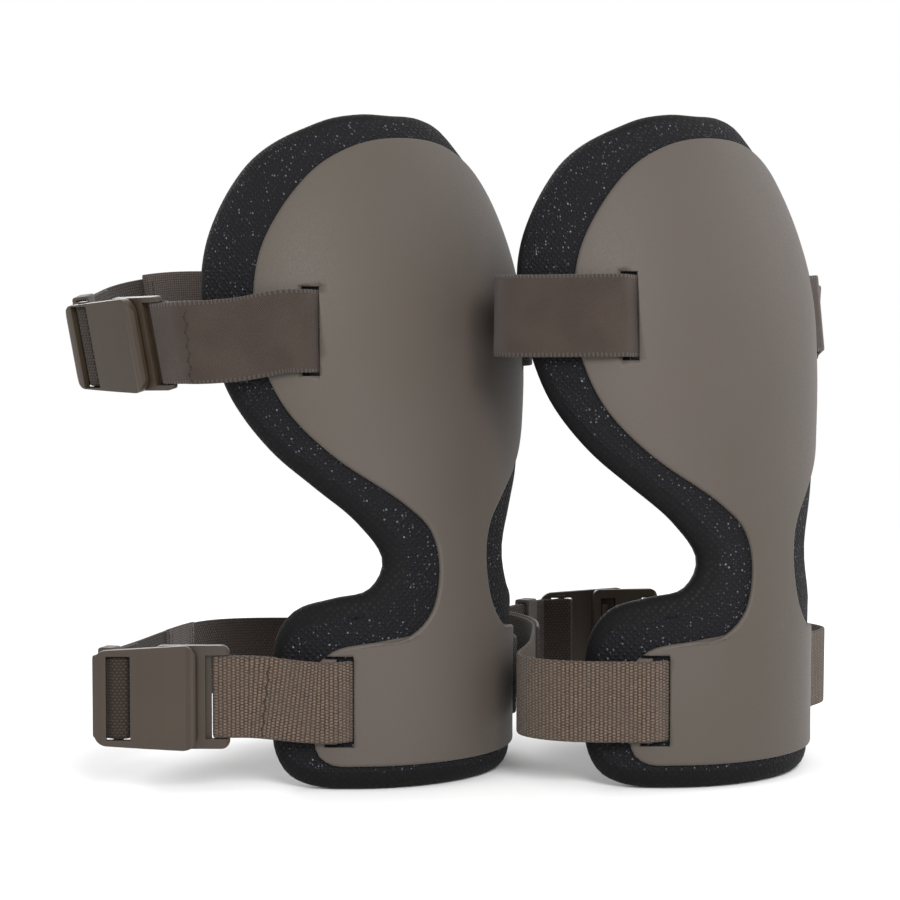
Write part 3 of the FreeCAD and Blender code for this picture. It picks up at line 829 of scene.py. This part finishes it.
def cut_box(axes, side, reach, half, middle=0.0):
    """Box cutter in a slit's axes."""
    corners = [axes.at(x, z, middle + y) for x in reach for y in (-half, half) for z in CUT_DEPTH]
    faces = [(0, 1, 3, 2), (4, 6, 7, 5), (0, 4, 5, 1), (2, 3, 7, 6), (0, 2, 6, 4), (1, 5, 7, 3)]
    cutter = new_mesh("cutter", corners, faces, SIDES[side][0])
    cutter.data.shade_flat()
    return fix_normals(cutter)


def full_crown(half_edge):
    """Outline with its crown a little fuller."""
    return [
        (a, h + CROWN_FULLNESS * max(0.0, (h - CROWN_START) / (FOAM_TOP - CROWN_START)))
        for a, h in half_edge
    ]


def make_pad(side):
    """Padded face, comfort layer and slit cap of one pad."""
    edge = full_crown(FOAM_EDGE)
    face = make_laminate(side, "_padded_face", "pebbled_skin", edge, 0.0, CORE_IN,
                         FACE_ROUND, INNER_ROUND["face"])
    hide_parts(side + "_face_fabric", side + "_foam_core")
    comfort = make_laminate(side, "_comfort_layer", "lining", edge, CORE_IN - LAYER_GAP, LINER_IN,
                            INNER_ROUND["comfort"], LINER_ROUND)
    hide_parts(side + "_comfort_foam", side + "_inner_liner")
    cap = make_laminate(side, "_knee_cap", "shell", CAP_EDGE, CAP_THICKNESS, LAYER_GAP,
                        CAP_ROUND, INNER_ROUND["cap"])
    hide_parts(side + "_shell_cap")
    cutters = []
    for level, (angle, height) in SLITS[side].items():
        for slit in (slit_axes(angle, height), slit_axes(-angle, height)):
            cutters.append(cut_box(slit, side, SLIT_CUT, HALF_SLIT))
            if level == "lower":
                for middle in (-HALF_SLIT, HALF_SLIT):
                    cutters.append(cut_box(slit, side, RELIEF_CUT, RELIEF_HALF, middle))
    boolean_cut(cap, cutters)


# ---- straps

STRAP_WIDTH = 30.0
STRAP_THICKNESS = 1.5
SECTION = band_section(STRAP_WIDTH, STRAP_THICKNESS)
BURIED_PATH = (((-16.0, -4.6), 0), ((-3.5, -1.3), 6.0), ((2.5, 2.9), 5.0))   # in slit axes, with radii
SLIT_EXIT = (7.0, 3.2)
# levels are outward distances from the buckle's hinge line, places are distances along from it
ELASTIC_LEVEL = 0.45
RETURN_LEVEL = -2.95
DOUBLE_LEVEL = -1.35
ELASTIC_TURN = 43.4
TURN_RADIUS = 1.3
ELASTIC_RISE = (48.6, 51.6)
ELASTIC_START = 54.0
HALF_STACK = 0.85
STACK_END = 38.0
TAIL_END = 37.0
BAR_LEVEL = 2.6
BAR_REACH = (4.6, 7.0, 12.2)
EASY_RADIUS = 2.0            # of a strap's gentle bends
BLEND_REACH = (4.0, 1.9)
SEAM_HALF = 14.2
SEAM_IN = 3.0                # from the doubled elastic's end
OVERLAP_THICKNESS = 1.2
OVERLAP_GAP = 0.05
OVERLAP_ROWS = (1.6, 4.2)
OVERLAP_ROW_HALF = 14.4
FRAME_ROUND = 0.45
PLATE_ROUND = 0.5
KEEPER_ROUND = 0.35
FLAT_ANGLE = 1.2             # degrees; flatter edges of a moulded piece are dissolved
SHARP_ANGLE = 32.0           # degrees; sharper ones are rounded


def same_way(a, b):
    """1 for vectors that point the same way, -1 for opposite ones."""
    return 1.0 if a.dot(b) > 0 else -1.0


def shared(first, last, count):
    """Across directions spread evenly between two."""
    s = np.linspace(0, 1, count)[:, None]
    return first * (1 - s) + last * s


def buried_end(slit):
    """Path of a strap from its end under the cap out through the slit, and the point where it leaves."""
    exit_point = slit.at(*SLIT_EXIT)
    corners = [(slit.at(*spot), radius) for spot, radius in BURIED_PATH]
    return arc_path(corners + [(exit_point, 0)])[:-1], exit_point


def elastic_ribbon(near, buckle, route, double_length):
    """Centre line of the elastic: buried end, slit, hanging run, round the end bar, sewn back."""
    across = buckle.across
    start_across = near.across * same_way(near.across, across)
    lead, exit_point = buried_end(near)
    frame_side = buckle.at(ELASTIC_START, ELASTIC_LEVEL)
    hanging = clamped_curve([exit_point] + route + [frame_side], near.along, -buckle.along)
    turn = arc_path([
        (frame_side, 0), (buckle.at(ELASTIC_TURN, ELASTIC_LEVEL), TURN_RADIUS),
        (buckle.at(ELASTIC_TURN, RETURN_LEVEL), TURN_RADIUS),
        (buckle.at(ELASTIC_RISE[0], RETURN_LEVEL), EASY_RADIUS),
        (buckle.at(ELASTIC_RISE[1], DOUBLE_LEVEL), EASY_RADIUS),
        (buckle.at(ELASTIC_START - 0.1, DOUBLE_LEVEL), 0),
    ])[1:-1]
    back = hanging[::-1]
    back_across = shared(across, start_across, len(back))
    under = unit(np.cross(back_across, unit(np.gradient(back, axis=0))))
    keep = lengths_along(back) <= double_length
    under = (back + under * (ELASTIC_LEVEL - DOUBLE_LEVEL))[keep]
    points = np.vstack([lead, hanging, turn, under])
    acrosses = np.vstack([
        np.repeat([start_across], len(lead), 0), shared(start_across, across, len(hanging)),
        np.repeat([across], len(turn), 0), back_across[keep],
    ])
    frame_at = len(lead) + len(hanging) - 1
    return Ribbon(points, acrosses), frame_at


def webbing_ribbon(far, buckle, stack, route):
    """Centre line of the webbing: buried end, round the leg, round the plate's bar, back as its tail."""
    far_across = far.across * same_way(far.across, stack.across)
    lead, exit_point = buried_end(far)
    stack_end = stack.at(STACK_END, -HALF_STACK)
    hanging = clamped_curve([stack_end] + route + [exit_point], stack.along, -far.along)[::-1]
    n, r = buckle.outward, -stack.outward
    corner = (n + r) * HALF_STACK / (1 + n.dot(r))
    origin = buckle.origin
    first, over, end = BAR_REACH
    bar_round = (BAR_LEVEL + HALF_STACK) / 2
    loop = arc_path([
        (stack_end, 0), (origin + corner, 2.2), (buckle.at(first, HALF_STACK), EASY_RADIUS),
        (buckle.at(over, BAR_LEVEL), EASY_RADIUS), (buckle.at(end, BAR_LEVEL), bar_round),
        (buckle.at(end, -HALF_STACK), bar_round), (origin - corner, HALF_STACK),
        (stack.at(TAIL_END, HALF_STACK), 0),
    ])[1:]
    dense = []
    full = [stack_end] + loop
    for a, b in zip(full, full[1:]):
        pieces = max(1, int(np.linalg.norm(b - a) / STRAP_STEP))
        for k in range(1, pieces + 1):
            dense.append(a + (b - a) * k / pieces)
    points = np.vstack([lead, hanging, dense])
    acrosses = np.vstack([
        np.repeat([far_across], len(lead), 0), shared(far_across, stack.across, len(hanging)),
        np.repeat([stack.across], len(dense), 0),
    ])
    return Ribbon(points, acrosses), len(lead) + len(hanging)


def soften(obj, width):
    """Rounds a moulded piece's edges and makes it the final mesh."""
    bm = bmesh.new()
    bm.from_mesh(obj.data)
    bmesh.ops.remove_doubles(bm, verts=bm.verts, dist=2 * WELD)
    bmesh.ops.dissolve_limit(bm, angle_limit=math.radians(FLAT_ANGLE), verts=bm.verts, edges=bm.edges)
    bm.to_mesh(obj.data)
    bm.free()
    modifier = obj.modifiers.new("soft", "BEVEL")
    modifier.width = width * MM
    modifier.segments = 3
    modifier.limit_method = "ANGLE"
    modifier.angle_limit = math.radians(SHARP_ANGLE)
    modifier.harden_normals = True
    modifier.use_clamp_overlap = True
    final_mesh(obj)


def moulded(name, node, body, slot, width):
    """A CAD piece shown with rounded edges."""
    obj = bpy.data.objects.new(name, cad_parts[node].data.copy())
    bpy.context.scene.collection.objects.link(obj)
    obj.data.materials.clear()
    obj.data.materials.append(MATERIALS[slot])
    soften(obj, width)
    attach(obj, body)
    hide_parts(node)


def own_cloth(piece, length):
    """Gives the first stretch of a strap the second cloth."""
    mesh = piece.data
    layer = mesh.uv_layers["cloth"].data
    for face in mesh.polygons:
        if max(layer[k].uv.x for k in face.loop_indices) <= length:
            face.material_index = 1


def make_overlap(key, side, strap, start, end, spare):
    """Doubled length of webbing sewn on the leg side of the strap, with its seams."""
    to_world, flip = SIDES[side]
    middle = strap.at((start + end) / 2, 0.0, 0.0)
    face = strap.at((start + end) / 2, 0.0, 1.0) - middle
    inward = same_way(face[:2], -middle[:2])
    steps = np.linspace(start, end, max(8, int((end - start) / STRAP_STEP)))
    lift = STRAP_THICKNESS / 2 + OVERLAP_THICKNESS / 2 + OVERLAP_GAP
    points = [strap.at(t, 0.0, inward * lift) for t in steps]
    acrosses = [strap.at(t, 1.0, 0.0) - strap.at(t, 0.0, 0.0) for t in steps]
    ribbon = Ribbon(points, acrosses)
    section = band_section(STRAP_WIDTH + spare, OVERLAP_THICKNESS)
    patch = band_mesh(key + "_overlap", ribbon, section, to_world, flip, [MATERIALS["overlap"]])
    outer = same_way(ribbon.face[0], face * inward) * OVERLAP_THICKNESS / 2
    paths = []
    for offset in OVERLAP_ROWS:
        paths += running_stitch(ribbon, offset, OVERLAP_ROW_HALF, outer)
        paths += running_stitch(ribbon, ribbon.along[-1] - offset, OVERLAP_ROW_HALF, outer)
    threads = thread_mesh(key + "_overlap_seam", paths, to_world)
    for piece in (patch, threads):
        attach(piece, side + "_pad")


def world_point(side, point):
    return tuple(SIDES[side][0](np.array(point)) * MM)


def make_elastic(key, side, slot, ribbon, frame_at, buckle, double_length):
    """Elastic band and the zig-zag seam that holds its doubled end."""
    to_world, flip = SIDES[side]
    band = band_mesh(key + "_elastic", ribbon, SECTION, to_world, flip, [MATERIALS[slot]])
    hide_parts(key + "_elastic_band")
    outer = same_way(ribbon.face[frame_at], buckle.outward) * (STRAP_THICKNESS / 2)
    seam_at = ribbon.along[frame_at] - double_length + SEAM_IN
    threads = thread_mesh(key + "_elastic_seam", seam(ribbon, seam_at, SEAM_HALF, outer), to_world)
    for piece in (band, threads):
        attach(piece, side + "_pad")


def make_webbing(key, side, second, ribbon, stack, buckle, stretch_length):
    """Webbing that bends between the pad and the plate. Its first stretch has a second cloth."""
    to_world, flip = SIDES[side]
    cloths = [MATERIALS["webbing"], MATERIALS[second]]
    piece = band_mesh(key + "_webbing", ribbon, SECTION, to_world, flip, cloths)
    own_cloth(piece, stretch_length)
    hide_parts(key + "_rear_webbing", key + "_webbing_loop", key + "_webbing_tail")
    start, end = BLEND_REACH
    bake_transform(piece, side + "_pad", key + "_plate", start=world_point(side, stack.at(start, 0.0)),
             end=world_point(side, buckle.at(end, 0.0)))


def make_strap(side, level, hinge, along, back, elastic, webbing, double_length, overlap,
               across=(0, 0, 1), overlap_spare=1.4, stretch_length=0.0):
    """One strap from its CAD route in the pad's axes. The hinge is on the plate's bend line, along runs from
    it over the buckle and back over the webbing; overlap is the patch's reach from the webbing's stack."""
    key = side + "_" + level
    angle, height = SLITS[side][level]
    buckle = Axes(hinge, along, across)
    up = buckle.across
    rise = -(back[0] * up[0] + back[1] * up[1]) / up[2]
    stack = Axes(hinge, (back[0], back[1], rise), up)
    route = [np.array(p, float) for p in elastic]
    ribbon, frame_at = elastic_ribbon(slit_axes(angle, height), buckle, route, double_length)
    make_elastic(key, side, level + "_elastic", ribbon, frame_at, buckle, double_length)
    route = [np.array(p, float) for p in webbing]
    ribbon, stack_at = webbing_ribbon(slit_axes(-angle, height), buckle, stack, route)
    make_webbing(key, side, level + "_elastic", ribbon, stack, buckle, stretch_length)
    start, end = (ribbon.along[stack_at] - reach for reach in reversed(overlap))
    make_overlap(key, side, ribbon, start, end, overlap_spare)
    moulded(key + "_frame", key + "_loop_frame", side + "_pad", "buckle", FRAME_ROUND)
    moulded(key + "_thumb_plate", key + "_hook_plate", key + "_plate", "buckle", PLATE_ROUND)
    moulded(key + "_keeper_sleeve", key + "_keeper", key + "_keeper_body", "keeper", KEEPER_ROUND)


UPPER_WAYS = {"along": (0.04, -1, 0.03), "across": (-0.2, 0.05, 0.97), "back": (0.85, 0.53, 0)}
STRAPS = [
    {
        "side": "left", "level": "lower", "hinge": (-110.5, 21.6, 35.6), "along": (0.69, -0.724, 0),
        "back": (0.885, 0.466, 0), "double_length": 11.0, "overlap": (31.0, 56.0),
        "elastic": [],
        "webbing": [(-35, 61.5, 36.2), (-8, 70, 35.4), (22, 62, 34), (48, 36, 33.2), (62, 6, 33),
                    (62, -15, 33)],
    },
    {
        "side": "left", "level": "upper", "hinge": (-95, 49, 162.8), **UPPER_WAYS,
        "double_length": 8.0, "overlap": (29.0, 75.0), "overlap_spare": 3.4,
        "elastic": [(-75.5, -24, 166.3)],
        "webbing": [(-30, 80, 173.5), (12, 77, 174), (52, 54, 172.5), (74, 26, 171), (78.6, 4, 170),
                    (76.4, -13, 169.5)],
    },
    {
        "side": "right", "level": "lower", "hinge": (-28, 82, 39), "along": (-0.77, -0.63, 0),
        "back": (0.97, -0.22, 0), "double_length": 6.0, "overlap": (12.0, 46.0), "stretch_length": 110.0,
        "elastic": [(-73, -29, 33), (-83, -8, 33), (-82, 14, 35), (-77, 34, 37.5)],
        "webbing": [(13, 60, 38), (31, 34, 36), (52, 18.5, 34), (68, 8, 33), (71.5, -8, 33), (64, -24, 33)],
    },
    {
        "side": "right", "level": "upper", "hinge": (-95, 49, 168.3), **UPPER_WAYS,
        "double_length": 8.0, "overlap": (29.0, 75.0), "stretch_length": 110.0,
        "elastic": [(-74, -24, 171.8)],
        "webbing": [(-43.5, 83, 176), (-23, 88, 177), (-6, 72, 177), (9, 49, 176), (31, 34, 175),
                    (54, 22, 174), (71, 15, 174), (80, 8.5, 174), (82.6, 0, 174), (78.8, -11, 174)],
    },
]

for pad_side in SIDES:
    make_pad(pad_side)
for strap in STRAPS:
    make_strap(**strap)

# ---- floor, light and camera (metres)

FLOOR_HALF = 6.0
FLOOR_DROP = 0.0003
FLOOR_TONE = (0.88, 0.88, 0.88, 1.0)
BLACK = (0.0, 0.0, 0.0, 1.0)
WHITE = (1.0, 1.0, 1.0, 1.0)
FLOOR_FADE = (0.4, 1.1)      # the floor turns into plain white between these distances
LIGHTS = (                   # name, place, target, width and height, watts
    ("key", (-0.74, -1.26, 0.85), (0, 0, 0.1), (0.7, 0.6), 24.0),
    ("side", (-1.4, 0.2, 0.9), (0, 0, 0.12), (0.9, 0.9), 3.0),
    ("back", (0.6, 1.4, 0.9), (0, 0, 0.12), (1.0, 0.8), 9.0),
    ("rim", (1.3, -0.5, 0.8), (0, 0, 0.12), (0.9, 0.9), 4.0),
)
CAMERA_AZIMUTH = -46.4
CAMERA_ELEVATION = 3.5
CAMERA_DISTANCE = 1.041
CAMERA_TARGET = Vector((18.52 * MM, 30.95 * MM, 119.2 * MM))
SENSOR_WIDTH = 36.0
FOCAL_PIXELS = 2589
IMAGE_PIXELS = 900


def make_stage():
    """Pale floor with no visible end, in a white room."""
    corners = [(x * FLOOR_HALF, y * FLOOR_HALF, 0) for x, y in ((-1, -1), (1, -1), (1, 1), (-1, 1))]
    mesh = bpy.data.meshes.new("floor")
    mesh.from_pydata(corners, [], [(0, 1, 2, 3)])
    floor = bpy.data.objects.new("floor", mesh)
    floor.location = (0, 0, -FLOOR_DROP)
    bpy.context.scene.collection.objects.link(floor)
    n = Nodes("pale_floor")
    distance = n.add("ShaderNodeVectorMath", {0: n.place()}, operation="LENGTH").outputs["Value"]
    far_off = n.span(distance, *FLOOR_FADE)
    n.put(n.mix(far_off, FLOOR_TONE, BLACK), n.shader.inputs["Base Color"])
    n.put(far_off, n.shader.inputs["Emission Strength"])
    n.shader.inputs["Emission Color"].default_value = WHITE
    n.shader.inputs["Roughness"].default_value = 0.8
    n.put(n.span(distance, *FLOOR_FADE, to_low=0.2, to_high=0.0), n.shader.inputs["Specular IOR Level"])
    mesh.materials.append(n.material)
    world = bpy.data.worlds.new("studio")
    bpy.context.scene.world = world
    world.use_nodes = True
    background = world.node_tree.nodes["Background"]
    background.inputs["Color"].default_value = WHITE
    background.inputs["Strength"].default_value = 1.0


def area_light(name, place, target, size, power):
    """Rectangular light that faces a target."""
    data = bpy.data.lights.new(name, "AREA")
    data.shape = "RECTANGLE"
    data.size, data.size_y = size
    data.energy = power
    light = bpy.data.objects.new(name, data)
    light.location = place
    way = Vector(target) - Vector(place)
    light.rotation_euler = way.to_track_quat("-Z", "Y").to_euler()
    bpy.context.scene.collection.objects.link(light)


def make_camera():
    """Camera at the photograph's angle, looking at the middle of the pair."""
    a, e = math.radians(CAMERA_AZIMUTH), math.radians(CAMERA_ELEVATION)
    back = Vector((math.sin(a) * math.cos(e), -math.cos(a) * math.cos(e), math.sin(e)))
    right = Vector((math.cos(a), math.sin(a), 0))
    up = back.cross(right)
    data = bpy.data.cameras.new("camera")
    data.sensor_width = SENSOR_WIDTH
    data.lens = FOCAL_PIXELS / IMAGE_PIXELS * SENSOR_WIDTH
    data.clip_start = 0.05
    camera = bpy.data.objects.new("camera", data)
    camera.matrix_world = Matrix((right, up, back)).transposed().to_4x4()
    camera.location = CAMERA_TARGET + back * CAMERA_DISTANCE
    bpy.context.scene.collection.objects.link(camera)
    bpy.context.scene.camera = camera


make_stage()
for light in LIGHTS:
    area_light(*light)
make_camera()
bpy.context.scene.view_settings.view_transform = "Standard"
